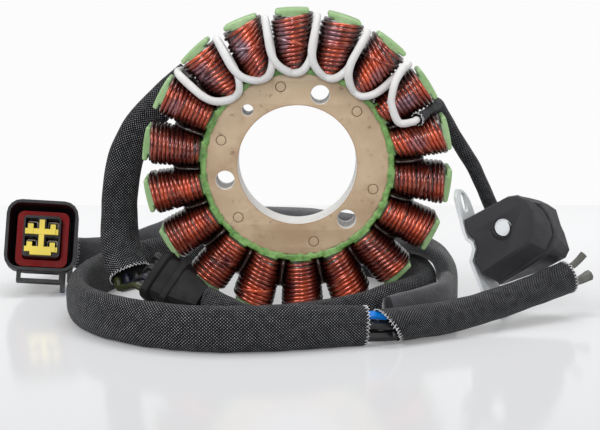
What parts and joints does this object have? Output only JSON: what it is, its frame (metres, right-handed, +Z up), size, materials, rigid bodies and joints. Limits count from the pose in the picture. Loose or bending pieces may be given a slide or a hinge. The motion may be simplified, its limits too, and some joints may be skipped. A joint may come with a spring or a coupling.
{
  "type": "wound stator",
  "caption": "Ring of copper-wound steel teeth with a central bore, braided lead harness, sealed square connector and small pick-up coil on a steel bracket.",
  "frame": {"origin": "on the floor under the middle of the laminated core, which stands on its rim", "axes": "+Z up, the core's axis along Y with its front face towards -Y, the connector on the -X side"},
  "size_m": [0.2176, 0.1517, 0.11],
  "materials": {
    "core_coat": "green insulating coat over laminations, bare varnished ring",
    "enamelled_copper": "dark red enamel, varnished",
    "white_tube": "woven white tubing",
    "braid": "dark braided sleeve",
    "black_plastic": "satin moulded plastic",
    "black_rubber": "satin rubber",
    "black_lead": "smooth insulation",
    "navy_lead": "smooth insulation",
    "olive_lead": "smooth insulation",
    "blue_lead": "smooth insulation",
    "red_rubber": "glossy silicone seal",
    "yellow_plastic": "satin moulded plastic",
    "tinned_brass": "tinned",
    "plated_steel": "bright zinc plate"
  },
  "bodies": {
    "root": {"coil_01": "enamelled_copper", "coil_02": "enamelled_copper", "coil_03": "enamelled_copper", "coil_04": "enamelled_copper", "coil_05": "enamelled_copper", "coil_06": "enamelled_copper", "coil_07": "enamelled_copper", "coil_08": "enamelled_copper", "coil_09": "enamelled_copper", "coil_10": "enamelled_copper", "coil_11": "enamelled_copper", "coil_12": "enamelled_copper", "coil_13": "enamelled_copper", "coil_14": "enamelled_copper", "coil_15": "enamelled_copper", "coil_16": "enamelled_copper", "coil_17": "enamelled_copper", "coil_18": "enamelled_copper", "connector_housing": "black_plastic", "connector_retainer": "yellow_plastic", "connector_seal": "red_rubber", "connector_sleeve": "braid", "connector_wire_1": "black_lead", "connector_wire_2": "olive_lead", "connector_wire_3": "navy_lead", "connector_wire_4": "blue_lead", "end_tab_lower": "black_rubber", "end_tab_upper": "black_rubber", "grommet": "black_rubber", "lead_black_lower": "black_lead", "lead_black_upper": "black_lead", "lead_navy": "navy_lead", "lead_olive": "olive_lead", "lead_sleeve": "braid", "lead_tube": "white_tube", "main_sleeve": "braid", "pulser_body": "black_plastic", "pulser_bracket": "plated_steel", "pulser_cover": "black_plastic", "pulser_pole": "plated_steel", "pulser_sleeve": "braid", "split_black_lower": "black_lead", "split_black_upper": "black_lead", "split_blue": "blue_lead", "split_sleeve": "braid", "stator_core": "core_coat", "terminal_1": "tinned_brass", "terminal_2": "tinned_brass", "terminal_3": "tinned_brass", "terminal_4": "tinned_brass"}
  },
  "joints": []
}
